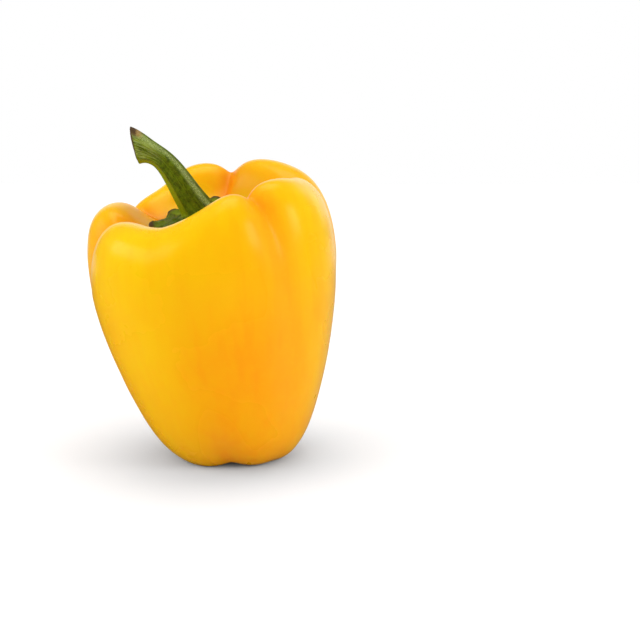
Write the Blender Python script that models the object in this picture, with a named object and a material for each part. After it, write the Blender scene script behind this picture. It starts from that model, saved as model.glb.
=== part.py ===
# Yellow bell pepper: the blocky fruit with its lobes and furrows, and the green stem with its calyx.
# The scene is in metres with +Z up. The pepper stands on the low spots of its base at Z = 0, and the
# origin is under the middle of its box. Sizes in the tables are in millimetres, angles in degrees,
# and an azimuth is counted anticlockwise from +X, seen from above.
from collections import namedtuple

import bmesh
import bpy
import numpy as np

MM = 0.001

# The whole pepper
LEAN = 7.0              # the top leans this far towards -X
REST_DEPTH = 0.6        # how much of the base's low spots is pressed flat
SKIN_GAP = 0.45         # from the skin up to the calyx lying on it
LOBE_FOCUS = 14.0       # how sharply one lobe gives way to the next
CREASE_ROUNDNESS = 0.45 # how round the bottom of a groove is, as a share of its half width

# Mesh fineness: steps around, and steps from one control ring to the next
FRUIT_AROUND = 112
FRUIT_STEPS = 3
STEM_AROUND = 40
STEM_STEPS = 2
SHARP_ANGLE = 50.0

Ring = namedtuple("Ring", "radius height rise shoulder belly foot inward downward spread")
Lobe = namedtuple("Lobe", "azimuth rise shoulder belly foot")
Groove = namedtuple("Groove", "rim_azimuth side_azimuth base_azimuth rim_depth side_depth base_depth")
CalyxTip = namedtuple("CalyxTip", "azimuth curl")
CalyxRing = namedtuple("CalyxRing", "reach lift curl")
StemRing = namedtuple("StemRing", "x height tilt radius ridge")

# Control rings of the fruit, from the middle of the stem basin over the rim and down to the dimple
# in the base. After the mean radius and height come the shares of each lobe's rise, shoulder,
# belly and foot, then a groove's share inwards and downwards and its half width in degrees.
FRUIT_RINGS = (
    Ring(0.0, 82.5, 0.0, 0.0, 0.0, 0.0, 0.0, 0.0, 8),
    Ring(8.0, 82.5, 0.0, 0.0, 0.0, 0.0, 0.0, 0.0, 8),
    Ring(16.0, 84.2, 0.25, 0.0, 0.0, 0.0, 0.0, 0.1, 8),
    Ring(22.5, 89.3, 0.5, 0.2, 0.0, 0.0, 0.0, 0.4, 7),
    Ring(26.5, 98.5, 1.0, 0.5, 0.0, 0.0, -0.4, 1.0, 7),
    Ring(34.1, 100.2, 1.0, 0.8, 0.0, 0.0, 0.5, 1.0, 7),
    Ring(41.0, 93.4, 0.8, 1.0, 0.3, 0.0, 1.0, 0.6, 8),
    Ring(44.1, 80.6, 0.5, 0.7, 0.7, 0.0, 1.0, 0.1, 10),
    Ring(44.5, 66.5, 0.2, 0.3, 1.0, 0.0, 0.9, 0.0, 13),
    Ring(42.6, 51.0, 0.0, 0.0, 1.0, 0.0, 0.8, 0.0, 16),
    Ring(38.8, 35.5, 0.0, 0.0, 0.9, 0.1, 0.7, 0.0, 18),
    Ring(33.6, 20.0, 0.0, 0.0, 0.7, 0.3, 0.7, 0.0, 20),
    Ring(28.0, 6.5, 0.0, 0.0, 0.4, 0.7, 0.9, -0.5, 18),
    Ring(19.5, -2.5, 0.0, 0.0, 0.2, 1.0, 0.8, -1.0, 16),
    Ring(11.0, -0.5, 0.0, 0.0, 0.0, 1.0, 0.3, -0.8, 16),
    Ring(5.0, 5.5, 0.0, 0.0, 0.0, 0.0, 0.0, 0.0, 16),
    Ring(0.0, 7.5, 0.0, 0.0, 0.0, 0.0, 0.0, 0.0, 16),
)

# Ring numbers between which the grooves change their azimuth and their depth
AZIMUTH_RINGS = (4.5, 8, 13)
DEPTH_RINGS = (5.5, 8, 10, 12)
BASIN_RINGS = 3         # the calyx lies inside this many rings
BASIN_SAMPLES = 61

LOBES = (
    Lobe(-150, -8.6, -0.6, 1.0, -0.7),
    Lobe(-114, -10.4, 0.5, 0.2, 0.0),
    Lobe(-88, -6.6, 0.5, 0.2, 0.7),
    Lobe(-66, 3.5, 1.5, 0.1, 1.5),
    Lobe(-36, 0.4, 1.0, 1.3, 2.3),
    Lobe(-6, -4.0, 0.4, 0.4, 2.3),
    Lobe(22, -4.0, 3.6, 2.4, 2.0),
    Lobe(52, -0.6, 0.0, 0.4, 2.0),
    Lobe(92, -1.0, -0.3, 0.0, 1.5),
    Lobe(128, -9.2, -3.0, 0.0, -0.6),
    Lobe(168, -6.8, 0.6, -0.2, -0.9),
)

GROOVES = (
    Groove(-114, -105, -93, 0.5, 0.6, 2.5),
    Groove(-57, -50, -44, 5.6, 2.8, 1.0),
    Groove(16, 4, 8, 4.0, 2.2, 2.0),
    Groove(71, 78, 85, 5.2, 2.8, 2.5),
    Groove(144, 150, 155, 4.8, 2.2, 1.5),
    Groove(194, 189, 200, 5.0, 2.8, 1.5),
)

# The calyx: a thin six-cornered plate that follows the basin, thickening towards the stem. Its tips
# have dried and curl up off the skin. Each ring has its share of the outline's radius, its lift off
# the skin and its share of the curl.
CALYX_TIPS = (
    CalyxTip(18, 1.2),
    CalyxTip(77, 0.8),
    CalyxTip(130, 1.0),
    CalyxTip(183, 0.2),
    CalyxTip(241, 0.5),
    CalyxTip(300, 0.5),
)
CALYX_RADIUS = 12.4
CALYX_TIP_LENGTH = 6.0
CORNER_FOCUS = 12.0     # how pointed the plate's corners are
THINNING = 0.4          # how much thinner the plate is at its corners
RIDGE_FOCUS = 30.0      # how narrow the stem's ridges are
RIDGE_MEAN = 0.43       # the mean of the ridges' bumps around the stem
CALYX_RINGS = (
    CalyxRing(0.00, 0.0, 0.0),
    CalyxRing(0.35, 0.0, 0.0),
    CalyxRing(0.68, 0.0, 0.1),
    CalyxRing(0.95, 0.0, 0.9),
    CalyxRing(1.02, 0.5, 1.0),
    CalyxRing(1.00, 1.3, 1.0),
    CalyxRing(0.92, 1.9, 0.8),
    CalyxRing(0.75, 2.4, 0.35),
    CalyxRing(0.57, 2.9, 0.1),
    CalyxRing(0.42, 3.8, 0.0),
)

# The stem's rings: place of the middle, tilt of the axis towards -X, radius and ridge height as a
# share of it. The last ones turn over the flared edge and close the slanting, hollowed cut.
STEM_RINGS = (
    StemRing(-1.6, 87.8, 12, 5.4, 0.16),
    StemRing(-3.6, 91.5, 20, 4.85, 0.15),
    StemRing(-5.4, 95.4, 23, 4.4, 0.14),
    StemRing(-7.3, 99.7, 25, 4.05, 0.14),
    StemRing(-9.5, 104.0, 31, 3.65, 0.13),
    StemRing(-12.2, 107.6, 44, 3.3, 0.12),
    StemRing(-15.3, 109.7, 57, 3.6, 0.12),
    StemRing(-18.5, 111.7, 80, 5.4, 0.10),
    StemRing(-20.2, 112.8, 97, 6.5, 0.06),
    StemRing(-20.4, 112.8, 97, 6.4, 0.04),
    StemRing(-19.7, 112.8, 97, 4.8, 0.0),
    StemRing(-19.0, 112.8, 97, 2.4, 0.0),
    StemRing(-18.8, 112.8, 97, 0.0, 0.0),
)


def clear_scene():
    for thing in list(bpy.context.scene.objects):
        bpy.data.objects.remove(thing, do_unlink=True)


def azimuth_circle(count):
    return np.linspace(-np.pi, np.pi, count, endpoint=False)


def spline_weight(distance):
    # Uniform cubic B-spline weight of a control ring at this distance along the row
    d = np.abs(distance)
    near = (4.0 - 6.0 * d ** 2 + 3.0 * d ** 3) / 6.0
    far = (2.0 - d) ** 3 / 6.0
    return np.where(d < 1.0, near, np.where(d < 2.0, far, 0.0))


def bump(azimuth, middle, focus):
    return np.exp(focus * (np.cos(azimuth - np.radians(middle)) - 1.0))


def lobe_blend(azimuth):
    # Each lobe property at these azimuths, as a mean of the lobes weighted by nearness
    weights = np.array([bump(azimuth, lobe.azimuth, LOBE_FOCUS) for lobe in LOBES])
    weights = weights / weights.sum(axis=0)
    fields = ("rise", "shoulder", "belly", "foot")
    return {field: sum(w * getattr(lobe, field) for w, lobe in zip(weights, LOBES)) for field in fields}


def groove_pull(azimuth, number, spread):
    # Summed depth of all grooves at one control ring
    pull = np.zeros_like(azimuth)
    for groove in GROOVES:
        azimuths = (groove.rim_azimuth, groove.side_azimuth, groove.base_azimuth)
        middle = np.interp(number, AZIMUTH_RINGS, azimuths)
        depths = (groove.rim_depth, groove.side_depth, groove.side_depth, groove.base_depth)
        depth = np.interp(number, DEPTH_RINGS, depths)
        offset = 2.0 * np.sin((azimuth - np.radians(middle)) / 2.0) / np.radians(spread)
        pull = pull + depth * np.exp(CREASE_ROUNDNESS - np.hypot(CREASE_ROUNDNESS, offset))
    return pull


def fruit_control_rows(azimuth):
    lobes = lobe_blend(azimuth)
    rows = []
    for number, ring in enumerate(FRUIT_RINGS):
        pull = groove_pull(azimuth, number, ring.spread)
        radius = ring.radius + ring.shoulder * lobes["shoulder"] + ring.belly * lobes["belly"]
        radius = radius - ring.inward * pull
        height = ring.height + ring.rise * lobes["rise"] - ring.foot * lobes["foot"]
        height = height - ring.downward * pull
        rows.append(np.stack([radius * np.cos(azimuth), radius * np.sin(azimuth), height], axis=-1))
    return np.array(rows)


def over_the_poles(rows):
    # The row before the first and after the last are their neighbours seen across the pole
    half_turn = rows.shape[1] // 2
    before = np.roll(rows[1], half_turn, axis=0)
    after = np.roll(rows[-2], half_turn, axis=0)
    return np.concatenate([before[None], rows, after[None]])


def surface_points(rows, place):
    # Points of the spline surface at one place along the rows, or at one place per azimuth
    extended = over_the_poles(rows)
    total = np.zeros_like(rows[0])
    for number in range(len(extended)):
        weight = spline_weight(place - (number - 1))
        total = total + np.reshape(weight, (-1, 1)) * extended[number]
    return total


def surface_rows(rows, steps):
    spans = len(rows) - 1
    return [surface_points(rows, place) for place in np.linspace(0, spans, spans * steps + 1)]


def tip_bumps(azimuth, focus):
    # About 1 at each tip of the calyx and less between two tips
    return sum(bump(azimuth, tip.azimuth, focus) for tip in CALYX_TIPS)


def place_for_radius(rows, radius):
    # Where along the fruit's rows the basin has this radius, at each azimuth
    places = np.linspace(0.0, BASIN_RINGS, BASIN_SAMPLES)
    radii = np.array([np.hypot(*surface_points(rows, place)[:, :2].T) for place in places])
    return np.array([np.interp(radius[i], radii[:, i], places) for i in range(len(radius))])


def calyx_rows(azimuth):
    fruit = fruit_control_rows(azimuth)
    corners = tip_bumps(azimuth, CORNER_FOCUS)
    curls = sum(tip.curl * bump(azimuth, tip.azimuth, CORNER_FOCUS) for tip in CALYX_TIPS)
    outline = CALYX_RADIUS + CALYX_TIP_LENGTH * corners
    rows = []
    for ring in CALYX_RINGS:
        points = surface_points(fruit, place_for_radius(fruit, ring.reach * outline))
        points[:, 2] += SKIN_GAP + ring.lift * (1.0 + THINNING * (0.5 - corners))
        points[:, 2] += ring.curl * curls
        rows.append(points)
    return rows


def stem_rows(azimuth):
    # Six low ridges run up the stem, each in line with a tip of the calyx
    ridges = tip_bumps(azimuth, RIDGE_FOCUS) - RIDGE_MEAN
    rows = []
    for ring in STEM_RINGS:
        tilt = np.radians(ring.tilt)
        radius = ring.radius * (1.0 + ring.ridge * ridges)
        along = radius * np.cos(azimuth)
        across = radius * np.sin(azimuth)
        x = ring.x + along * np.cos(tilt)
        z = ring.height + along * np.sin(tilt)
        rows.append(np.stack([x, across, z], axis=-1))
    return rows


def lean_over(points):
    # Turned about +Y so that the top moves towards -X
    angle = np.radians(LEAN)
    x = points[:, 0] * np.cos(angle) - points[:, 2] * np.sin(angle)
    z = points[:, 0] * np.sin(angle) + points[:, 2] * np.cos(angle)
    return np.stack([x, points[:, 1], z], axis=-1)


def make_object(name, rows, material):
    # Closed surface from the rows, whose first and last are the poles
    mesh = bpy.data.meshes.new(name)
    shape = bmesh.new()
    first = shape.verts.new(rows[0].mean(axis=0))
    last = shape.verts.new(rows[-1].mean(axis=0))
    loops = [[shape.verts.new(point) for point in row] for row in rows[1:-1]]
    count = len(loops[0])
    for i in range(count):
        j = (i + 1) % count
        shape.faces.new((first, loops[0][i], loops[0][j]))
        shape.faces.new((last, loops[-1][j], loops[-1][i]))
        for upper, lower in zip(loops, loops[1:]):
            shape.faces.new((upper[i], lower[i], lower[j], upper[j]))
    bmesh.ops.recalc_face_normals(shape, faces=shape.faces)
    shape.to_mesh(mesh)
    shape.free()
    mesh.shade_smooth()
    mesh.set_sharp_from_angle(angle=np.radians(SHARP_ANGLE))
    mesh.materials.append(material)
    thing = bpy.data.objects.new(name, mesh)
    bpy.context.scene.collection.objects.link(thing)
    return thing


def make_material(name, colour, roughness):
    material = bpy.data.materials.new(name)
    material.use_nodes = True
    shader = material.node_tree.nodes["Principled BSDF"]
    shader.inputs["Base Color"].default_value = (*colour, 1.0)
    shader.inputs["Roughness"].default_value = roughness
    shader.inputs["Metallic"].default_value = 0.0
    return material


def fruit_and_stem_rows():
    # Both pieces leaned over, set down on the base's low spots and centred, in metres
    fruit_control = fruit_control_rows(azimuth_circle(FRUIT_AROUND))
    fruit = [lean_over(row) for row in surface_rows(fruit_control, FRUIT_STEPS)]
    circle = azimuth_circle(STEM_AROUND)
    stem_control = np.array(calyx_rows(circle) + stem_rows(circle))
    stem = [lean_over(row) for row in surface_rows(stem_control, STEM_STEPS)]
    points = np.concatenate(fruit)
    low = points.min(axis=0)
    high = points.max(axis=0)
    base = np.array([(low[0] + high[0]) / 2.0, (low[1] + high[1]) / 2.0, low[2] + REST_DEPTH])
    fruit = [(row - base) * MM for row in fruit]
    stem = [(row - base) * MM for row in stem]
    for row in fruit:
        row[:, 2] = np.maximum(row[:, 2], 0.0)
    return fruit, stem


def build_pepper():
    clear_scene()
    fruit, stem = fruit_and_stem_rows()
    skin = make_material("pepper_skin", (0.97, 0.53, 0.01), 0.25)
    green = make_material("pepper_green", (0.11, 0.15, 0.015), 0.5)
    make_object("fruit", fruit, skin)
    make_object("stem_and_calyx", stem, green)


build_pepper()
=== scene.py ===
# Yellow bell pepper: glossy skin, ribbed stem and calyx, on a white table in soft studio light.
# Lengths inside the two node trees are in millimetres, everything else is in metres.
import math

import bpy
import numpy as np
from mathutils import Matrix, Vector


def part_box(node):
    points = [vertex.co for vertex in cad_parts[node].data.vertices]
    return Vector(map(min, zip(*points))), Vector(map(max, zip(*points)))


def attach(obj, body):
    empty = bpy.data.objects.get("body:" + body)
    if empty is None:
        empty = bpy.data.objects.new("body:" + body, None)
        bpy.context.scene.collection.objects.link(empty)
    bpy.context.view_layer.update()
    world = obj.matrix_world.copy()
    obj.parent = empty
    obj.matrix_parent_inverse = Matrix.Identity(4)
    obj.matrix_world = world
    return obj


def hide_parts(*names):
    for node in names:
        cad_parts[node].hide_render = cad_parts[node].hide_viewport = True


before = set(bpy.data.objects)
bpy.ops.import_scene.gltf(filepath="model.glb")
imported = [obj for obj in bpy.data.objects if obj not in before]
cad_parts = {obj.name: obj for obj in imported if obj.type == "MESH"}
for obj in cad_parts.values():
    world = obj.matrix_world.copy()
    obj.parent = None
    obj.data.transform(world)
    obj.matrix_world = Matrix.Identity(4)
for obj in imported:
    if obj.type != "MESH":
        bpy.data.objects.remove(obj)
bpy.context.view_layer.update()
millimetre = 0.001
degree = math.radians(1.0)
seamWidth = 0.000002          # points closer than this are merged
print("frame loaded:", sorted(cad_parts))


# Arithmetic on fields, so that a tree reads like its formula

class Field:
    def __init__(self, tree, socket):
        self.tree = tree
        self.socket = socket

    def calculate(self, operation, *others):
        node = self.tree.nodes.new("ShaderNodeMath")
        node.operation = operation
        for slot, value in zip(node.inputs, (self, *others)):
            plug(self.tree, value, slot)
        return Field(self.tree, node.outputs[0])

    def __add__(self, other):
        return self.calculate("ADD", other)

    def __sub__(self, other):
        return self.calculate("SUBTRACT", other)

    def __mul__(self, other):
        return self.calculate("MULTIPLY", other)

    def __truediv__(self, other):
        return self.calculate("DIVIDE", other)

    def __pow__(self, other):
        return self.calculate("POWER", other)


def plug(tree, value, slot):
    if isinstance(value, Field):
        tree.links.new(value.socket, slot)
    else:
        slot.default_value = value


def sine(field):
    return field.calculate("SINE")


def cosine(field):
    return field.calculate("COSINE")


def exponential(field):
    return field.calculate("EXPONENT")


def atLeast(field, limit):
    return field.calculate("MAXIMUM", limit)


def ramp(field, start, end):
    # 0 before start, 1 after end, straight between
    node = field.tree.nodes.new("ShaderNodeMapRange")
    plug(field.tree, field, node.inputs["Value"])
    plug(field.tree, start, node.inputs["From Min"])
    plug(field.tree, end, node.inputs["From Max"])
    return Field(field.tree, node.outputs["Result"])


def softRamp(field, start, end):
    result = ramp(field, start, end)
    result.socket.node.interpolation_type = "SMOOTHSTEP"
    return result


def zone(field, start, whole, last, end):
    # 1 from whole to last, falling off softly to 0 at start and end
    return softRamp(field, start, whole) * softRamp(field, end, last)


def toVector(x, y, z):
    tree = x.tree
    node = tree.nodes.new("ShaderNodeCombineXYZ")
    for value, slot in zip((x, y, z), node.inputs):
        plug(tree, value, slot)
    return Field(tree, node.outputs[0])


def fromVector(vector):
    node = vector.tree.nodes.new("ShaderNodeSeparateXYZ")
    plug(vector.tree, vector, node.inputs[0])
    return [Field(vector.tree, output) for output in node.outputs]


def scaleVector(vector, factor):
    node = vector.tree.nodes.new("ShaderNodeVectorMath")
    node.operation = "SCALE"
    plug(vector.tree, vector, node.inputs[0])
    plug(vector.tree, factor, node.inputs["Scale"])
    return Field(vector.tree, node.outputs[0])


def noise(vector, scale, detail=2.0, seed=0.0):
    # Smooth noise with a mean of about 0.5
    node = vector.tree.nodes.new("ShaderNodeTexNoise")
    node.noise_dimensions = "4D"
    plug(vector.tree, vector, node.inputs["Vector"])
    plug(vector.tree, scale, node.inputs["Scale"])
    plug(vector.tree, seed, node.inputs["W"])
    node.inputs["Detail"].default_value = detail
    return Field(vector.tree, node.outputs["Fac"])


def floats(*labels):
    return [(label, "Float") for label in labels]


def newTree(name, inputs, outputs, kind="GeometryNodeTree"):
    tree = bpy.data.node_groups.new(name, kind)
    for label, socketType in inputs:
        tree.interface.new_socket(label, in_out="INPUT", socket_type="NodeSocket" + socketType)
    for label, socketType in outputs:
        tree.interface.new_socket(label, in_out="OUTPUT", socket_type="NodeSocket" + socketType)
    start = tree.nodes.new("NodeGroupInput")
    end = tree.nodes.new("NodeGroupOutput")
    given = {socket.name: Field(tree, socket) for socket in start.outputs if socket.name}
    return tree, given, end


def useGroup(tree, group, *values):
    kind = "GeometryNodeGroup" if tree.bl_idname == "GeometryNodeTree" else "ShaderNodeGroup"
    node = tree.nodes.new(kind)
    node.node_tree = group
    for value, slot in zip(values, node.inputs):
        plug(tree, value, slot)
    return Field(tree, node.outputs[0])


# Small formulas shared by both shapes

def makeSplineWeight():
    # Cubic B-spline weight of a control ring at this distance from it
    tree, given, end = newTree("splineWeight", floats("Distance"), floats("Weight"))
    distance = given["Distance"].calculate("ABSOLUTE")
    outer = atLeast(distance * -1.0 + 2.0, 0.0) ** 3.0
    inner = atLeast(distance * -1.0 + 1.0, 0.0) ** 3.0
    plug(tree, (outer - inner * 4.0) / 6.0, end.inputs[0])
    return tree


def makeRoundBump():
    # 1 at the middle azimuth, falling off evenly both ways
    tree, given, end = newTree("roundBump", floats("Azimuth", "Middle", "Focus"), floats("Bump"))
    turn = cosine(given["Azimuth"] - given["Middle"]) - 1.0
    plug(tree, exponential(turn * given["Focus"]), end.inputs[0])
    return tree


def makeFurrowBell():
    # Cross-section of a furrow: a creased middle with long soft shoulders
    inputs = floats("Azimuth", "Middle", "Spread", "Roundness")
    tree, given, end = newTree("furrowBell", inputs, floats("Depth"))
    roundness = given["Roundness"]
    offset = sine((given["Azimuth"] - given["Middle"]) / 2.0) * 2.0 / given["Spread"]
    root = (offset * offset + roundness * roundness).calculate("SQRT")
    plug(tree, exponential(roundness - root), end.inputs[0])
    return tree


splineWeight = makeSplineWeight()
roundBump = makeRoundBump()
furrowBell = makeFurrowBell()


def bumpAt(azimuth, degrees, focus):
    return useGroup(azimuth.tree, roundBump, azimuth, math.radians(degrees), focus)


def blendRings(place, rings, first=0):
    # Spline mean of each column of numbers, at this place along the rings
    columns = [None] * len(rings[0])
    for number, ring in enumerate(rings, start=first):
        weight = useGroup(place.tree, splineWeight, place - float(number))
        for column, value in enumerate(ring):
            if value:
                share = weight * value
                columns[column] = columns[column] + share if columns[column] else share
    return columns


def leanOver(x, y, z, angle):
    # Tilts the piece about the Y axis, so that its top moves towards -X
    turned = x * cosine(angle) - z * sine(angle)
    height = x * sine(angle) + z * cosine(angle)
    return toVector(turned, y, height)


def gridOfRings(tree, around, along):
    # An open grid: azimuth runs along one side, the place between the two poles along the other
    grid = tree.nodes.new("GeometryNodeMeshGrid")
    plug(tree, around + 1.0, grid.inputs["Vertices X"])
    plug(tree, along + 1.0, grid.inputs["Vertices Y"])
    u, v, _ = fromVector(Field(tree, grid.outputs["UV Map"]))
    return Field(tree, grid.outputs["Mesh"]), (u - 0.5) * (2.0 * math.pi), v


def passOn(mesh, node, socket="Geometry"):
    # Feeds the mesh into a node and returns what comes out
    plug(mesh.tree, mesh, node.inputs[socket])
    return Field(mesh.tree, node.outputs[socket])


def moveTo(mesh, position):
    node = mesh.tree.nodes.new("GeometryNodeSetPosition")
    plug(mesh.tree, position, node.inputs["Position"])
    return passOn(mesh, node)


def pushOut(mesh, distance):
    # Along the surface's own normal
    normal = mesh.tree.nodes.new("GeometryNodeInputNormal")
    offset = scaleVector(Field(mesh.tree, normal.outputs[0]), distance)
    node = mesh.tree.nodes.new("GeometryNodeSetPosition")
    plug(mesh.tree, offset, node.inputs["Offset"])
    return passOn(mesh, node)


def keepValue(mesh, name, value, kind="FLOAT"):
    node = mesh.tree.nodes.new("GeometryNodeStoreNamedAttribute")
    node.data_type = kind
    node.inputs["Name"].default_value = name
    plug(mesh.tree, value, node.inputs["Value"])
    return passOn(mesh, node)


def keptValue(tree, name, kind="FLOAT"):
    node = tree.nodes.new("GeometryNodeInputNamedAttribute")
    node.data_type = kind
    node.inputs["Name"].default_value = name
    return Field(tree, node.outputs["Attribute"])


def closeSeams(mesh):
    node = mesh.tree.nodes.new("GeometryNodeMergeByDistance")
    node.inputs["Distance"].default_value = seamWidth
    return passOn(mesh, node)


def turnFaces(mesh):
    return passOn(mesh, mesh.tree.nodes.new("GeometryNodeFlipFaces"), "Mesh")


def finishMesh(mesh, material, end):
    mesh = passOn(mesh, mesh.tree.nodes.new("GeometryNodeSetShadeSmooth"))
    mesh = passOn(mesh, mesh.tree.nodes.new("GeometryNodeRealizeInstances"))
    node = mesh.tree.nodes.new("GeometryNodeSetMaterial")
    plug(mesh.tree, material, node.inputs["Material"])
    plug(mesh.tree, passOn(mesh, node), end.inputs[0])


def growPiece(name, tree, values):
    # Runs the tree once and keeps its result as a plain mesh
    piece = bpy.data.objects.new(name, bpy.data.meshes.new(name))
    bpy.context.scene.collection.objects.link(piece)
    modifier = piece.modifiers.new("shape", "NODES")
    modifier.node_group = tree
    for item in tree.interface.items_tree:
        if item.item_type == "SOCKET" and item.in_out == "INPUT" and item.name in values:
            modifier[item.identifier] = values[item.name]
    graph = bpy.context.evaluated_depsgraph_get()
    mesh = bpy.data.meshes.new_from_object(piece.evaluated_get(graph), depsgraph=graph)
    mesh.name = name
    piece.modifiers.remove(modifier)
    piece.data = mesh
    print(name, "has", len(mesh.polygons), "faces")
    return piece


# The fruit

fruitLook = {
    "Around": 420,            # faces round the fruit
    "Along": 224,             # faces from the stem basin to the base
    "Lean": math.radians(7.0),
    "Lobe Focus": 14.0,       # how narrow the lobes are
    "Crease Roundness": 0.45,
    "Dent Height": 0.5,       # broad soft unevenness, in millimetres
    "Dent Size": 0.035,       # its frequency, per millimetre
    "Ripple Height": 0.07,
    "Ripple Size": 0.16,
    "Seed": 3.0,
    "Ripple Seed": 5.0,       # added to the seed
}

# Rings from the middle of the stem basin over the rim to the dimple in the base: radius and height,
# shares of a lobe's rise, shoulder, belly and foot, a furrow's share inwards and downwards,
# and its width in degrees
fruitRings = (
    (0.0, 82.5, 0.0, 0.0, 0.0, 0.0, 0.0, 0.0, 8),
    (8.0, 82.5, 0.0, 0.0, 0.0, 0.0, 0.0, 0.0, 8),
    (16.0, 84.2, 0.25, 0.0, 0.0, 0.0, 0.0, 0.1, 8),
    (22.5, 89.3, 0.5, 0.2, 0.0, 0.0, 0.0, 0.4, 7),
    (26.5, 98.5, 1.0, 0.5, 0.0, 0.0, -0.4, 1.0, 7),
    (34.1, 100.2, 1.0, 0.8, 0.0, 0.0, 0.5, 1.0, 7),
    (41.0, 93.4, 0.8, 1.0, 0.3, 0.0, 1.0, 0.6, 8),
    (44.1, 80.6, 0.5, 0.7, 0.7, 0.0, 1.0, 0.1, 10),
    (44.5, 66.5, 0.2, 0.3, 1.0, 0.0, 0.9, 0.0, 13),
    (42.6, 51.0, 0.0, 0.0, 1.0, 0.0, 0.8, 0.0, 16),
    (38.8, 35.5, 0.0, 0.0, 0.9, 0.1, 0.7, 0.0, 18),
    (33.6, 20.0, 0.0, 0.0, 0.7, 0.3, 0.7, 0.0, 20),
    (28.0, 6.5, 0.0, 0.0, 0.4, 0.7, 0.9, -0.5, 18),
    (19.5, -2.5, 0.0, 0.0, 0.2, 1.0, 0.8, -1.0, 16),
    (11.0, -0.5, 0.0, 0.0, 0.0, 1.0, 0.3, -0.8, 16),
    (5.0, 5.5, 0.0, 0.0, 0.0, 0.0, 0.0, 0.0, 16),
    (0.0, 7.5, 0.0, 0.0, 0.0, 0.0, 0.0, 0.0, 16),
)

# Azimuth of each lobe in degrees, then its rise, shoulder, belly and foot
fruitLobes = (
    (-150, -8.6, -0.6, 1.0, -0.7),
    (-114, -10.4, 0.5, 0.2, 0.0),
    (-88, -6.6, 0.5, 0.2, 0.7),
    (-66, 3.5, 1.5, 0.1, 1.5),
    (-36, 0.4, 1.0, 1.3, 2.3),
    (-6, -4.0, 0.4, 0.4, 2.3),
    (22, -4.0, 3.6, 2.4, 2.0),
    (52, -0.6, 0.0, 0.4, 2.0),
    (92, -1.0, -0.3, 0.0, 1.5),
    (128, -9.2, -3.0, 0.0, -0.6),
    (168, -6.8, 0.6, -0.2, -0.9),
)

# Azimuth of each furrow at the rim, on the side and at the base in degrees, then its depth at each
fruitFurrows = (
    (-114, -105, -93, 0.5, 0.6, 2.5),
    (-57, -50, -44, 5.6, 2.8, 1.0),
    (16, 4, 8, 4.0, 2.2, 2.0),
    (71, 78, 85, 5.2, 2.8, 2.5),
    (144, 150, 155, 4.8, 2.2, 1.5),
    (194, 189, 200, 5.0, 2.8, 1.5),
)

# Where changes down the fruit start and end, in rings from the middle of the basin
fruitSpans = {
    "turnToSide": (4.5, 8.0),     # a furrow's azimuth
    "turnToBase": (8.0, 13.0),
    "depthToSide": (5.5, 8.0),
    "depthToBase": (10.0, 12.0),
    "uneven": (2.5, 4.5, 10.5, 12.5),     # dents leave out the basin and the low spots
}


def acrossPoles(rings):
    # One more ring at each end, the neighbour seen across the pole
    before = (-rings[1][0], *rings[1][1:])
    after = (-rings[-2][0], *rings[-2][1:])
    return (before, *rings, after)


def lobeMeans(azimuth, focus):
    # Rise, shoulder, belly and foot at this azimuth, each lobe counting by how near it is
    bumps = [bumpAt(azimuth, lobe[0], focus) for lobe in fruitLobes]
    total = bumps[0]
    for bump in bumps[1:]:
        total = total + bump
    means = []
    for column in range(1, len(fruitLobes[0])):
        mean = bumps[0] * fruitLobes[0][column]
        for bump, lobe in zip(bumps[1:], fruitLobes[1:]):
            mean = mean + bump * lobe[column]
        means.append(mean / total)
    return means


def furrowPull(azimuth, place, spread, roundness):
    # Each furrow drifts round the fruit and changes its depth from the rim down to the base
    turnToSide = ramp(place, *fruitSpans["turnToSide"])
    turnToBase = ramp(place, *fruitSpans["turnToBase"])
    depthToSide = ramp(place, *fruitSpans["depthToSide"])
    depthToBase = ramp(place, *fruitSpans["depthToBase"])
    pull = None
    for rimAzimuth, sideAzimuth, baseAzimuth, rimDepth, sideDepth, baseDepth in fruitFurrows:
        middle = turnToSide * math.radians(sideAzimuth - rimAzimuth) + math.radians(rimAzimuth)
        middle = middle + turnToBase * math.radians(baseAzimuth - sideAzimuth)
        depth = depthToSide * (sideDepth - rimDepth) + depthToBase * (baseDepth - sideDepth)
        depth = depth + rimDepth
        bell = useGroup(azimuth.tree, furrowBell, azimuth, middle, spread * degree, roundness)
        pull = pull + bell * depth if pull else bell * depth
    return pull


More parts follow.
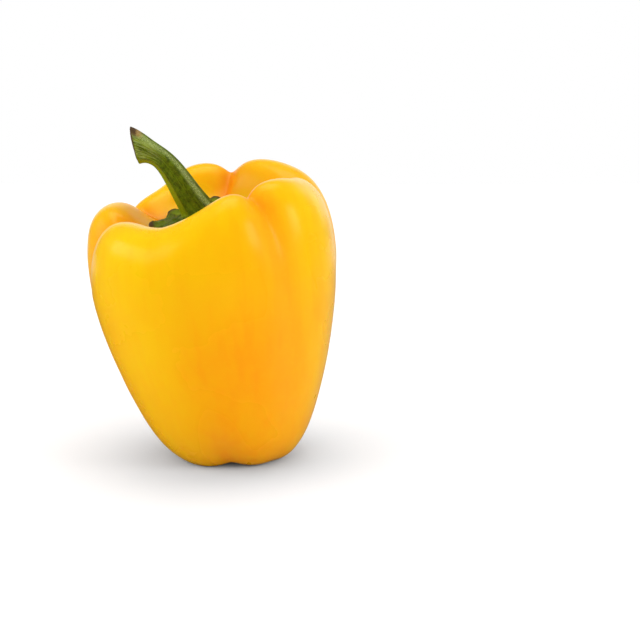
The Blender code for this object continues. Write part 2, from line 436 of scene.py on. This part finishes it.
def makeFruitTree():
    inputs = [("Around", "Int"), ("Along", "Int"),
              *floats("Lean", "Lobe Focus", "Crease Roundness", "Dent Height", "Dent Size",
                      "Ripple Height", "Ripple Size", "Seed", "Ripple Seed"),
              ("Skin", "Material")]
    tree, given, end = newTree("fruitShape", inputs, [("Geometry", "Geometry")])
    mesh, azimuth, share = gridOfRings(tree, given["Around"], given["Along"])
    place = share * float(len(fruitRings) - 1)
    columns = blendRings(place, acrossPoles(fruitRings), first=-1)
    (radius, height, riseShare, shoulderShare, bellyShare, footShare,
     inShare, downShare, spread) = columns
    rise, shoulder, belly, foot = lobeMeans(azimuth, given["Lobe Focus"])
    pull = furrowPull(azimuth, place, spread, given["Crease Roundness"])
    radius = radius + shoulderShare * shoulder + bellyShare * belly - inShare * pull
    height = height + riseShare * rise - footShare * foot - downShare * pull
    x = radius * cosine(azimuth)
    y = radius * sine(azimuth)
    mesh = keepValue(mesh, "furrow", pull)
    mesh = keepValue(mesh, "place", place)
    mesh = keepValue(mesh, "flow", toVector(x, y, height), "FLOAT_VECTOR")
    mesh = moveTo(mesh, scaleVector(leanOver(x, y, height, given["Lean"]), millimetre))
    mesh = turnFaces(closeSeams(mesh))
    flow = keptValue(tree, "flow", "FLOAT_VECTOR")
    rippleSeed = given["Seed"] + given["Ripple Seed"]
    dents = noise(flow, given["Dent Size"], detail=1.0, seed=given["Seed"]) - 0.5
    ripples = noise(flow, given["Ripple Size"], detail=1.0, seed=rippleSeed) - 0.5
    relief = dents * given["Dent Height"] + ripples * given["Ripple Height"]
    # The basin and the low spots keep their shape, so that the calyx and the table still fit
    free = zone(keptValue(tree, "place"), *fruitSpans["uneven"])
    mesh = pushOut(mesh, relief * free * millimetre)
    finishMesh(mesh, given["Skin"], end)
    return tree


# The stem and its calyx

stemLook = {
    "Around": 192,
    "Along": 460,
    "Lean": math.radians(7.0),
    "Skin Gap": 0.3,          # from the fruit up to the calyx, in millimetres
    "Outline": 12.4,          # radius of the calyx far from any tip
    "Tip Length": 6.0,
    "Tip Focus": 12.0,        # how pointed the calyx is at its tips
    "Thickness": 1.2,         # of the calyx between two tips, as a share of its rings' heights
    "Tip Thinning": 0.4,      # less than that at a tip
    "Ridge Focus": 30.0,      # how narrow the stem's ridges are
    "Ridge Mean": 0.43,       # mean of the ridges' bumps around the stem
    "Fibre Height": 0.16,
    "Fibre Size": 7.0,        # across the fibres
    "Fibre Length": 0.35,     # along them, the smaller the longer
    "Wart Height": 0.5,
    "Wart Size": 0.55,
    "Knob Height": 0.45,      # the dry knob at the end of each tip of the calyx
    "Cut Height": 0.35,       # roughness of the cut
    "Cut Size": 1.4,
    "Seed": 8.0,
}

# Azimuth of each tip in degrees, and how far it curls up off the skin
calyxTips = ((18, 1.2), (77, 0.8), (130, 1.0), (183, 0.2), (241, 0.5), (300, 0.5))

# Share of the outline's radius, height above the skin and share of the curl
calyxRings = (
    (0.00, 0.0, 0.0),
    (0.35, 0.0, 0.0),
    (0.68, 0.0, 0.1),
    (0.96, 0.0, 0.9),
    (1.03, 0.4, 1.0),
    (1.01, 1.1, 1.0),
    (0.93, 1.8, 0.8),
    (0.75, 2.4, 0.35),
    (0.57, 2.9, 0.1),
    (0.42, 3.8, 0.0),
)

# Middle of the ring as X and height, tilt of its axis towards -X in degrees, radius,
# ridge height as a share of the radius
stemRings = (
    (-1.6, 87.8, 12, 5.4, 0.20),
    (-3.6, 91.5, 20, 4.85, 0.18),
    (-5.4, 95.4, 23, 4.4, 0.17),
    (-7.3, 99.7, 25, 4.05, 0.17),
    (-9.5, 104.0, 31, 3.65, 0.16),
    (-12.2, 107.6, 44, 3.3, 0.15),
    (-15.3, 109.7, 57, 3.6, 0.14),
    (-18.5, 111.7, 80, 5.4, 0.11),
    (-20.2, 112.8, 97, 6.5, 0.07),
    (-20.4, 112.8, 97, 6.4, 0.05),
    (-19.7, 112.8, 97, 4.8, 0.0),
    (-19.0, 112.8, 97, 2.4, 0.0),
    (-18.8, 112.8, 97, 0.0, 0.0),
)

# Where the relief starts, is whole, and ends again, in rings from the middle under the calyx
reliefSpans = {
    "knobTip": (0.94, 1.0),       # not in rings: how near a tip's azimuth
    "knobIn": (3.0, 4.0),
    "knobOut": (6.4, 5.4),
    "calyx": (4.5, 5.5, 8.5, 10.0),
    "stem": (8.5, 10.5, 18.4, 19.4),
    "cut": (18.6, 19.4, 21.4, 22.0),
    "wart": (0.5, 0.75),          # not in rings: the noise that becomes a wart
}


def tiltedColumns(ring):
    # A tilted ring as numbers that a spline can blend
    x, height, tilt, radius, ridge = ring
    rise = math.sin(math.radians(tilt)) * radius
    run = math.cos(math.radians(tilt)) * radius
    return (x, height, run, run * ridge, radius, radius * ridge, rise, rise * ridge)


def tipBumps(azimuth, focus):
    # About 1 at each tip and less between two tips, and the same scaled by each tip's curl
    bumps = None
    curls = None
    for tip, curl in calyxTips:
        bump = bumpAt(azimuth, tip, focus)
        bumps = bumps + bump if bumps else bump
        curls = curls + bump * curl if curls else bump * curl
    return bumps, curls


def skinHeight(tree, fruit, x, y, lean):
    # Height of the fruit's skin over a point of the basin, found with a ray down the stem's axis
    above = 130.0
    info = tree.nodes.new("GeometryNodeObjectInfo")
    plug(tree, fruit, info.inputs["Object"])
    ray = tree.nodes.new("GeometryNodeRaycast")
    tree.links.new(info.outputs["Geometry"], ray.inputs["Target Geometry"])
    start = leanOver(x, y, x * 0.0 + above, lean)
    plug(tree, scaleVector(start, millimetre), ray.inputs["Source Position"])
    plug(tree, toVector(sine(lean), 0.0, cosine(lean) * -1.0), ray.inputs["Ray Direction"])
    ray.inputs["Ray Length"].default_value = above * millimetre
    return Field(tree, ray.outputs["Hit Distance"]) * (-1.0 / millimetre) + above


def makeStemTree():
    inputs = [("Around", "Int"), ("Along", "Int"),
              *floats("Lean", "Skin Gap", "Outline", "Tip Length", "Tip Focus", "Thickness",
                      "Tip Thinning", "Ridge Focus", "Ridge Mean", "Fibre Height", "Fibre Size",
                      "Fibre Length", "Wart Height", "Wart Size", "Knob Height", "Cut Height",
                      "Cut Size", "Seed"),
              ("Fruit", "Object"), ("Green", "Material")]
    tree, given, end = newTree("stemShape", inputs, [("Geometry", "Geometry")])
    mesh, azimuth, share = gridOfRings(tree, given["Around"], given["Along"])
    ringCount = len(calyxRings) + len(stemRings)
    place = share * float(ringCount - 1)
    corners, curls = tipBumps(azimuth, given["Tip Focus"])
    tips, _ = tipBumps(azimuth, given["Ridge Focus"])
    around = cosine(azimuth)
    across = sine(azimuth)

    # The calyx follows the skin out to its outline and back
    before = (-calyxRings[1][0], *calyxRings[1][1:])
    calyxSpline = [(*ring, 1.0) for ring in (before, *calyxRings)]
    reach, lift, curlShare, calyxShare = blendRings(place, calyxSpline, first=-1)
    safeShare = atLeast(calyxShare, 0.0001)     # never zero, because it divides
    calyxRadius = reach / safeShare * (corners * given["Tip Length"] + given["Outline"])
    x = calyxRadius * around
    y = calyxRadius * across
    height = skinHeight(tree, given["Fruit"], x, y, given["Lean"]) + given["Skin Gap"]
    height = height + lift / safeShare * (given["Thickness"] - corners * given["Tip Thinning"])
    height = height + curlShare / safeShare * curls

    # The stem is a row of tilted rings with six ridges, in line with the tips
    after = (stemRings[-2][0], *stemRings[-2][1:3], -stemRings[-2][3], stemRings[-2][4])
    stemSpline = [tiltedColumns(ring) for ring in (*stemRings, after)]
    columns = blendRings(place, stemSpline, first=len(calyxRings))
    middle, level, run, runRidge, wide, wideRidge, climb, climbRidge = columns
    ridges = tips - given["Ridge Mean"]
    x = x * calyxShare + (middle + around * (run + runRidge * ridges))
    y = y * calyxShare + across * (wide + wideRidge * ridges)
    height = height * calyxShare + (level + around * (climb + climbRidge * ridges))

    mesh = keepValue(mesh, "place", place)
    mesh = keepValue(mesh, "ridge", tips)
    mesh = keepValue(mesh, "corner", corners)
    mesh = keepValue(mesh, "fibre", toVector(around, across, place), "FLOAT_VECTOR")
    mesh = keepValue(mesh, "flow", toVector(x, y, height), "FLOAT_VECTOR")
    mesh = moveTo(mesh, scaleVector(leanOver(x, y, height, given["Lean"]), millimetre))
    mesh = closeSeams(mesh)
    mesh = pushOut(mesh, stemRelief(tree, given) * millimetre)
    finishMesh(mesh, given["Green"], end)
    return tree


def stemRelief(tree, given):
    # Fibres run up the stem, low warts sit on the calyx and a dry knob at each of its tips,
    # and the cut is rough
    place = keptValue(tree, "place")
    flow = keptValue(tree, "flow", "FLOAT_VECTOR")
    fibreX, fibreY, _ = fromVector(keptValue(tree, "fibre", "FLOAT_VECTOR"))
    size = given["Fibre Size"]
    lines = toVector(fibreX * size, fibreY * size, place * given["Fibre Length"])
    fibres = noise(lines, scale=1.0, detail=2.0, seed=given["Seed"]) - 0.5
    warts = noise(flow, given["Wart Size"], detail=2.0, seed=given["Seed"] + 2.0)
    warts = softRamp(warts, *reliefSpans["wart"])
    rough = noise(flow, given["Cut Size"], detail=3.0, seed=given["Seed"] + 4.0) - 0.5
    knob = softRamp(keptValue(tree, "corner"), *reliefSpans["knobTip"])
    knob = knob * softRamp(place, *reliefSpans["knobIn"]) * softRamp(place, *reliefSpans["knobOut"])
    # Doubled, so that the fibres swing by their whole height both ways
    relief = fibres * given["Fibre Height"] * zone(place, *reliefSpans["stem"]) * 2.0
    relief = relief + warts * given["Wart Height"] * zone(place, *reliefSpans["calyx"])
    relief = relief + knob * given["Knob Height"]
    return relief + rough * given["Cut Height"] * zone(place, *reliefSpans["cut"])


# Surface effects that both materials use

def makeMottle():
    # Soft blotches, from 0 to 1, with their contrast set by how close Low and High are
    inputs = [("Vector", "Vector"), *floats("Scale", "Seed", "Low", "High")]
    tree, given, end = newTree("mottle", inputs, floats("Mask"), "ShaderNodeTree")
    cloud = noise(given["Vector"], given["Scale"], detail=4.0, seed=given["Seed"])
    plug(tree, softRamp(cloud, given["Low"], given["High"]), end.inputs[0])
    return tree


mottle = makeMottle()


def newMaterial(name):
    material = bpy.data.materials.new(name)
    material.use_nodes = True
    tree = material.node_tree
    return material, tree, tree.nodes["Principled BSDF"]


def attribute(tree, name, vector=False):
    node = tree.nodes.new("ShaderNodeAttribute")
    node.attribute_name = name
    return Field(tree, node.outputs["Vector" if vector else "Fac"])


def objectPlace(tree):
    node = tree.nodes.new("ShaderNodeTexCoord")
    return Field(tree, node.outputs["Object"])


def mixColour(tree, share, first, second):
    node = tree.nodes.new("ShaderNodeMix")
    node.data_type = "RGBA"
    plug(tree, share, node.inputs["Factor"])
    for value, slot in ((first, node.inputs[6]), (second, node.inputs[7])):
        plug(tree, value if isinstance(value, Field) else (*value, 1.0), slot)
    return Field(tree, node.outputs[2])


def addBump(tree, shader, height, look):
    node = tree.nodes.new("ShaderNodeBump")
    node.inputs["Strength"].default_value = look["bump"]
    node.inputs["Distance"].default_value = look["bumpHeight"]
    plug(tree, height, node.inputs["Height"])
    tree.links.new(node.outputs["Normal"], shader.inputs["Normal"])


def setFinish(shader, look):
    # What is the same all over a surface, on the shader's own sockets
    shader.inputs["Specular IOR Level"].default_value = look["shine"]
    shader.inputs["Specular Tint"].default_value = (*look["shineTint"], 1.0)
    shader.inputs["Subsurface Weight"].default_value = look["subsurface"]
    shader.inputs["Subsurface Radius"].default_value = look["glow"]
    shader.inputs["Subsurface Scale"].default_value = look["glowDepth"]


skinLook = {
    "yellow": (0.96, 0.60, 0.0),
    "orange": (0.96, 0.25, 0.0),
    "pale": (0.97, 0.56, 0.01),
    "tableShadowGrey": (0.42, 0.38, 0.34),     # painted shadow: the dull grey that diffuse rays see on the lower half, which makes the table's shadow darker and neutral
    "basinGreen": (0.62, 0.46, 0.01),
    "scar": (0.28, 0.13, 0.02),
    "furrowShadeOrange": 0.11,       # painted shade: how much more orange for each millimetre of a furrow's depth
    "blotchRipe": 0.14,       # and in blotches, streaks, low down, and as painted shade in a patch on the front and in the basin
    "streakRipe": 0.10,
    "lowerOrange": 0.12,
    "frontShadeOrange": 0.30,
    "basinShadeOrange": 0.26,
    "crestHighlight": 0.10,        # how much paler the crest of the rim is, a painted highlight, and how much paler the flecks are
    "fleckPale": 0.12,
    "calyxGreen": 0.45,       # how green the skin is by the calyx
    "roughness": 0.26,
    "blotchRough": 0.04,      # how much rougher in blotches, on the scar and deep in a furrow
    "scarRough": 0.3,
    "furrowRough": 0.22,
    "shine": 0.5,             # specular level of the waxy skin
    "shineTint": (1.0, 0.50, 0.08),
    "subsurface": 0.20,
    "glow": (1.0, 0.35, 0.05),
    "glowDepth": 0.006,
    "coat": 0.14,
    "coatRoughness": 0.22,
    "peel": 0.5,              # the skin's fine unevenness
    "pores": 0.12,            # and its pores
    "peelSize": 320.0,
    "poreSize": 1500.0,
    "bump": 0.12,
    "bumpHeight": 0.0006,
}

# Scale, seed, and the noise at which each pattern starts and is whole
skinPatterns = {
    "blotches": (28.0, 1.0, 0.35, 0.70),
    "flecks": (900.0, 2.0, 0.50, 0.80),
    "streaks": (0.22, 3.0, 0.40, 0.70),
}
streakLength = 0.12           # the smaller, the longer the streaks

# Where each effect starts and is whole, in rings from the middle of the basin
skinSpans = {                 # the crest has four numbers, because it ends again
    "calyx": (2.9, 2.2),
    "crest": (3.2, 4.4, 5.0, 6.4),
    "basin": (5.0, 3.6),
    "dullFurrow": (4.6, 5.6),
    "shadedFront": (5.5, 8.5),
    "lowerBody": (6.0, 10.5),
    "scar": (15.3, 15.8),
}

# The same in millimetres across, in depth and in a furrow's depth, and in metres above the table
skinRanges = {
    # Edges of the painted shade patch on the front
    "shadedFrontLeftEdge": (-26.0, 2.0),
    "shadedFrontRightEdge": (34.0, 12.0),
    "shadedFrontBackEdge": (10.0, -20.0),
    "deepFurrow": (1.5, 2.8),
    "bounceLevel": (0.060, 0.020),
}


def makeSkinMaterial():
    material, tree, shader = newMaterial("pepperSkin")
    place = attribute(tree, "place")
    furrow = attribute(tree, "furrow")
    spot = objectPlace(tree)
    flowX, flowY, flowZ = fromVector(attribute(tree, "flow", vector=True))
    blotches = useGroup(tree, mottle, spot, *skinPatterns["blotches"])
    flecks = useGroup(tree, mottle, spot, *skinPatterns["flecks"])
    lines = toVector(flowX, flowY, flowZ * streakLength)
    streaks = useGroup(tree, mottle, lines, *skinPatterns["streaks"])

    # Blotches and streaks are more orange where the skin ripened more, the lower body is more
    # orange too, and painted shade makes the furrows, the basin and a patch on the front more
    # orange
    lowerBody = softRamp(place, *skinSpans["lowerBody"])
    # Painted shade: a patch on the front, from below the rim to the middle, is more orange
    shadedFront = softRamp(flowX, *skinRanges["shadedFrontLeftEdge"])
    shadedFront = shadedFront * softRamp(flowX, *skinRanges["shadedFrontRightEdge"])
    shadedFront = shadedFront * softRamp(flowY, *skinRanges["shadedFrontBackEdge"])
    shadedFront = shadedFront * softRamp(place, *skinSpans["shadedFront"])
    # Painted shade: deeper furrows are more orange
    ripenessAndShade = furrow * skinLook["furrowShadeOrange"] + blotches * skinLook["blotchRipe"]
    ripenessAndShade = ripenessAndShade + streaks * skinLook["streakRipe"] + lowerBody * skinLook["lowerOrange"]
    ripenessAndShade = ripenessAndShade + shadedFront * skinLook["frontShadeOrange"]
    # Painted shade: the basin is more orange
    ripenessAndShade = ripenessAndShade + softRamp(place, *skinSpans["basin"]) * skinLook["basinShadeOrange"]
    colour = mixColour(tree, ripenessAndShade, skinLook["yellow"], skinLook["orange"])

    # Painted highlight: a paler band along the crest of the rim
    crest = zone(place, *skinSpans["crest"]) * skinLook["crestHighlight"]
    nearCalyx = softRamp(place, *skinSpans["calyx"]) * skinLook["calyxGreen"]
    scar = softRamp(place, *skinSpans["scar"])
    colour = mixColour(tree, crest, colour, skinLook["pale"])
    colour = mixColour(tree, flecks * skinLook["fleckPale"], colour, skinLook["pale"])
    colour = mixColour(tree, nearCalyx, colour, skinLook["basinGreen"])
    colour = mixColour(tree, scar, colour, skinLook["scar"])
    # Painted shadow: near the table, diffuse rays see the skin as dull grey, so the shadow it
    # leaves on the table is darker and neutral
    path = tree.nodes.new("ShaderNodeLightPath")
    _, _, level = fromVector(spot)
    nearTable = softRamp(level, *skinRanges["bounceLevel"])
    tableShadowShare = Field(tree, path.outputs["Is Diffuse Ray"]) * nearTable
    colour = mixColour(tree, tableShadowShare, colour, skinLook["tableShadowGrey"])
    plug(tree, colour, shader.inputs["Base Color"])

    # Duller in the depth of a furrow, where the skin is never rubbed
    dull = softRamp(furrow, *skinRanges["deepFurrow"]) * softRamp(place, *skinSpans["dullFurrow"])
    roughness = blotches * skinLook["blotchRough"] + scar * skinLook["scarRough"]
    roughness = roughness + dull * skinLook["furrowRough"] + skinLook["roughness"]
    plug(tree, roughness, shader.inputs["Roughness"])
    setFinish(shader, skinLook)
    shader.inputs["Coat Weight"].default_value = skinLook["coat"]
    shader.inputs["Coat Roughness"].default_value = skinLook["coatRoughness"]
    peel = noise(spot, skinLook["peelSize"], detail=2.0, seed=6.0) * skinLook["peel"]
    pores = noise(spot, skinLook["poreSize"], detail=2.0, seed=7.0) * skinLook["pores"]
    addBump(tree, shader, peel + pores, skinLook)
    return material


greenLook = {
    "dark": (0.030, 0.052, 0.001),
    "middle": (0.085, 0.14, 0.001),
    "pale": (0.42, 0.50, 0.17),
    "fibre": (0.24, 0.29, 0.015),
    "yellow": (0.28, 0.36, 0.005),
    "brown": (0.08, 0.042, 0.016),
    "tan": (0.34, 0.17, 0.05),
    "fibreShare": 0.2,        # how much the fibres show
    "flareFibres": 0.45,      # and how much more where the stem flares
    "fineFibres": 0.45,
    "specks": 0.4,
    "lowerYellow": 0.75,      # how yellow the stem's lower edge is
    "highlightGrain": 0.75,       # painted highlight: how pale its upper edge is, in grains and in specks
    "highlightSpecks": 0.35,
    "veins": 0.3,
    "rimBrown": 0.4,          # how brown the calyx's rim is, and how much more in grains
    "rimGrain": 0.5,
    "burntTan": 0.8,
    "roughness": 0.40,
    "fibreRough": 0.12,       # how much rougher on fibres and on the cut
    "cutRough": 0.3,
    "shine": 0.15,
    "shineTint": (1.0, 1.0, 0.4),
    "subsurface": 0.08,
    "glow": (0.6, 1.0, 0.2),
    "glowDepth": 0.001,
    "fibreBump": 0.6,
    "grainBump": 0.4,
    "bump": 0.35,
    "bumpHeight": 0.0003,
}

# Scale, seed, and the noise at which each pattern starts and is whole
greenPatterns = {
    "blotches": (0.5, 1.0, 0.35, 0.65),
    "grain": (3.0, 2.0, 0.40, 0.65),
    "fibres": (1.0, 3.0, 0.42, 0.62),
    "fineFibres": (2.4, 4.0, 0.45, 0.62),
    "specks": (4.5, 5.0, 0.48, 0.66),
}
fibreSize = 9.0
fibreLength = 0.4             # the smaller, the longer the fibres

# Where each effect starts and is whole, in rings from the middle under the calyx
greenSpans = {
    "rim": (5.3, 4.4),
    "tipEnd": (6.2, 5.2),
    "veinsOut": (8.5, 6.5),
    "veinsIn": (5.0, 5.6),
    "stem": (8.0, 10.0),
    "flare": (14.2, 16.5),
    "burnt": (16.7, 17.3),
    "burntEdge": (17.25, 17.6),
    "cut": (17.7, 18.2),
    "cutFace": (18.4, 19.2),
}
ridgeSpan = (0.45, 0.95)      # the bump of a ridge on which the veins run
cornerSpan = (0.88, 0.98)     # the bump of a tip that has dried brown

# Azimuth on the stem in degrees, and the angles to both sides of it within which an effect
# is whole and outside which it ends
greenSides = {
    "lowerEdge": (-160, 8, 42),
    "upperHighlight": (-27, 6, 27),
    "burnt": (-10, 8, 36),
    "burntEdge": (0, 20, 56),
}


def onSide(fibreX, fibreY, degrees, narrow, wide):
    # 1 near this azimuth on the stem, 0 further away than the wide angle
    middle = math.radians(degrees)
    nearness = fibreX * math.cos(middle) + fibreY * math.sin(middle)
    return softRamp(nearness, math.cos(math.radians(wide)), math.cos(math.radians(narrow)))


def makeGreenMaterial():
    material, tree, shader = newMaterial("pepperGreen")
    place = attribute(tree, "place")
    flow = attribute(tree, "flow", vector=True)
    fibreX, fibreY, _ = fromVector(attribute(tree, "fibre", vector=True))
    lines = toVector(fibreX * fibreSize, fibreY * fibreSize, place * fibreLength)
    blotches = useGroup(tree, mottle, flow, *greenPatterns["blotches"])
    grain = useGroup(tree, mottle, flow, *greenPatterns["grain"])
    specks = useGroup(tree, mottle, flow, *greenPatterns["specks"])
    fibres = useGroup(tree, mottle, lines, *greenPatterns["fibres"])
    fineFibres = useGroup(tree, mottle, lines, *greenPatterns["fineFibres"])
    along = {name: softRamp(place, *span) for name, span in greenSpans.items()}
    beside = {name: onSide(fibreX, fibreY, *side) for name, side in greenSides.items()}

    # Dark green with paler fibres, which show most where the stem flares
    colour = mixColour(tree, blotches, greenLook["dark"], greenLook["middle"])
    shown = fibres * (along["flare"] * greenLook["flareFibres"] + greenLook["fibreShare"])
    colour = mixColour(tree, shown, colour, greenLook["fibre"])
    shown = specks * along["stem"] * greenLook["specks"]
    colour = mixColour(tree, shown, colour, greenLook["fibre"])
    shown = fineFibres * along["flare"] * greenLook["fineFibres"]
    colour = mixColour(tree, shown, colour, greenLook["pale"])
    # Yellow along the lower edge, and a pale mottled painted highlight along the upper right
    lowerEdge = beside["lowerEdge"] * along["stem"] * greenLook["lowerYellow"]
    colour = mixColour(tree, lowerEdge, colour, greenLook["yellow"])
    paintedHighlight = grain * greenLook["highlightGrain"] + specks * greenLook["highlightSpecks"]
    upperHighlight = beside["upperHighlight"] * along["stem"] * paintedHighlight
    colour = mixColour(tree, upperHighlight, colour, greenLook["pale"])

    # Veins run out to the calyx's tips, whose ends are brown
    onRidge = softRamp(attribute(tree, "ridge"), *ridgeSpan)
    veins = onRidge * along["veinsOut"] * along["veinsIn"]
    colour = mixColour(tree, veins * greenLook["veins"], colour, greenLook["yellow"])
    rim = along["rim"] * (grain * greenLook["rimGrain"] + greenLook["rimBrown"])
    colour = mixColour(tree, rim, colour, greenLook["brown"])
    tipEnd = along["tipEnd"] * softRamp(attribute(tree, "corner"), *cornerSpan)
    colour = mixColour(tree, tipEnd, colour, greenLook["brown"])

    # The cut has dried brown, and its upper corner most
    burnt = along["burnt"] * beside["burnt"] * greenLook["burntTan"]
    colour = mixColour(tree, burnt, colour, greenLook["tan"])
    cut = atLeast(along["cut"], along["burntEdge"] * beside["burntEdge"])
    cutColour = mixColour(tree, grain * along["cutFace"], greenLook["brown"], greenLook["tan"])
    colour = mixColour(tree, cut, colour, cutColour)
    plug(tree, colour, shader.inputs["Base Color"])

    roughness = fibres * greenLook["fibreRough"] + cut * greenLook["cutRough"]
    plug(tree, roughness + greenLook["roughness"], shader.inputs["Roughness"])
    setFinish(shader, greenLook)
    relief = fibres * greenLook["fibreBump"] + grain * greenLook["grainBump"]
    addBump(tree, shader, relief, greenLook)
    return material


# Table, light and camera

stage = {
    "tableSize": 0.90,
    "tableColour": (0.96, 0.965, 0.97),
    "tableTint": (0.94, 0.945, 0.96),
    "tableRoughness": 0.9,
    "tableShine": 0.1,
    "roomLight": 0.78,        # brightness of the white room as a light
    "roomSeen": 1.0,          # its brightness where the camera sees it
    "roomMirrored": 0.09,     # its brightness in reflections
    "backMirrored": 0.95,     # and that of its back wall, which draws a pale line along the edges
    "backWall": (0.80, 0.97),     # how far back a direction points where it starts and is whole
    "leftMirrored": 0.04,     # share of the table's colour left in reflections, at the left
    "rightMirrored": 0.24,    # at the right
    "farMirrored": 0.65,      # and far behind the pepper
    "leftToRight": (-0.04, 0.08),     # where along X they change, in metres
    "nearToFar": (0.16, 0.34),        # and where along Y
    "lightAim": (0.0, 0.0, 0.06),
}

# Direction in degrees seen from the pepper, height above the table in degrees, distance,
# size across and up, and brightness
softLights = {
    "leftSoftbox": (-168, 25, 0.90, 0.92, 0.34, 2.3),
    "rightSoftbox": (-23, 19, 0.90, 0.34, 0.36, 4.8),
    "topSoftbox": (90, 82, 1.10, 0.80, 0.80, 2.1),
    "edgeCard": (52, 14, 0.90, 0.34, 0.50, 0.8),
}

shot = {
    "aim": (0.03760, 0.00074, 0.04832),
    "distance": 0.95,
    "elevation": math.radians(15.0),
    "lens": 153.1,
    "sensor": 36.0,
}


def makeTable():
    # White, but darker where the waxy skin mirrors it
    material, tree, shader = newMaterial("tableWhite")
    shader.inputs["Roughness"].default_value = stage["tableRoughness"]
    shader.inputs["Specular IOR Level"].default_value = stage["tableShine"]
    spot = objectPlace(tree)
    across, depth, _ = fromVector(spot)
    cloud = noise(spot, scale=3.0, detail=1.0, seed=1.0)
    colour = mixColour(tree, cloud, stage["tableColour"], stage["tableTint"])
    left = stage["leftMirrored"]
    kept = softRamp(across, *stage["leftToRight"]) * (stage["rightMirrored"] - left) + left
    kept = atLeast(softRamp(depth, *stage["nearToFar"]) * stage["farMirrored"], kept)
    path = tree.nodes.new("ShaderNodeLightPath")
    lost = (kept * -1.0 + 1.0) * Field(tree, path.outputs["Is Glossy Ray"])
    plug(tree, mixColour(tree, lost, colour, (0.0, 0.0, 0.0)), shader.inputs["Base Color"])
    half = stage["tableSize"] / 2.0
    mesh = bpy.data.meshes.new("table")
    corners = [(-half, -half, 0.0), (half, -half, 0.0), (half, half, 0.0), (-half, half, 0.0)]
    mesh.from_pydata(corners, [], [(0, 1, 2, 3)])
    mesh.materials.append(material)
    table = bpy.data.objects.new("table", mesh)
    bpy.context.scene.collection.objects.link(table)


def makeWorld():
    # A white room, dimmer as a light so that the shadow shows, and dark in the waxy skin's
    # reflections
    world = bpy.data.worlds.new("studio")
    world.use_nodes = True
    bpy.context.scene.world = world
    tree = world.node_tree
    background = tree.nodes["Background"]
    background.inputs["Color"].default_value = (1.0, 1.0, 1.0, 1.0)
    path = tree.nodes.new("ShaderNodeLightPath")
    seen = Field(tree, path.outputs["Is Camera Ray"]) * (stage["roomSeen"] - stage["roomLight"])
    direction = tree.nodes.new("ShaderNodeTexCoord")
    _, backwards, _ = fromVector(Field(tree, direction.outputs["Generated"]))
    brighter = stage["backMirrored"] - stage["roomMirrored"]
    mirrored = softRamp(backwards, *stage["backWall"]) * brighter
    mirrored = mirrored + (stage["roomMirrored"] - stage["roomLight"])
    strength = seen + mirrored * Field(tree, path.outputs["Is Glossy Ray"]) + stage["roomLight"]
    plug(tree, strength, background.inputs["Strength"])


def addLooking(item, aim, towards, distance):
    # Adds a light or camera to the scene, at this distance from its aim and turned to look at it
    item.location = aim + towards * distance
    item.rotation_euler = (-towards).to_track_quat("-Z", "Y").to_euler()
    bpy.context.scene.collection.objects.link(item)


def makeLights():
    aim = Vector(stage["lightAim"])
    for name, (azimuth, elevation, distance, across, up, brightness) in softLights.items():
        azimuth = math.radians(azimuth)
        elevation = math.radians(elevation)
        level = math.cos(elevation)
        upwards = math.sin(elevation)
        towards = Vector((level * math.cos(azimuth), level * math.sin(azimuth), upwards))
        data = bpy.data.lights.new(name, "AREA")
        data.shape = "RECTANGLE"
        data.size = across
        data.size_y = up
        data.energy = brightness * math.pi * across * up
        addLooking(bpy.data.objects.new(name, data), aim, towards, distance)


def makeCamera():
    data = bpy.data.cameras.new("camera")
    data.lens = shot["lens"]
    data.sensor_width = shot["sensor"]
    camera = bpy.data.objects.new("camera", data)
    back = Vector((0.0, -math.cos(shot["elevation"]), math.sin(shot["elevation"])))
    addLooking(camera, Vector(shot["aim"]), back, shot["distance"])
    bpy.context.scene.camera = camera


restDepth = 0.0006            # how far the low spots are pressed flat on the table


def meshPoints(piece):
    points = np.zeros(len(piece.data.vertices) * 3, np.float32)
    piece.data.vertices.foreach_get("co", points)
    return points.reshape(-1, 3).astype(float)


def setDown(pieces, fruit):
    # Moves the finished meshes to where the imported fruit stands, and flattens the low spots
    low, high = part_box("fruit")
    points = meshPoints(fruit)
    middle = (points.min(axis=0) + points.max(axis=0)) / 2.0
    shift = np.array([(low.x + high.x) / 2.0 - middle[0], (low.y + high.y) / 2.0 - middle[1],
                      low.z - restDepth - points[:, 2].min()])
    for piece in pieces:
        points = meshPoints(piece) + shift
        points[:, 2] = np.maximum(points[:, 2], low.z)
        piece.data.vertices.foreach_set("co", points.ravel().astype(np.float32))
        piece.data.update()


def buildPepper():
    fruitValues = dict(fruitLook, Skin=makeSkinMaterial())
    fruit = growPiece("pepperSkin", makeFruitTree(), fruitValues)
    stemValues = dict(stemLook, Fruit=fruit, Green=makeGreenMaterial())
    stem = growPiece("pepperStem", makeStemTree(), stemValues)
    setDown((fruit, stem), fruit)
    for piece, node, slot in ((fruit, "fruit", "skin"), (stem, "stem_and_calyx", "green_stem")):
        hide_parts(node)
        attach(piece, "root")


buildPepper()
makeTable()
makeWorld()
makeLights()
makeCamera()
bpy.context.scene.view_settings.view_transform = "Standard"
print("stage, light and camera ready")
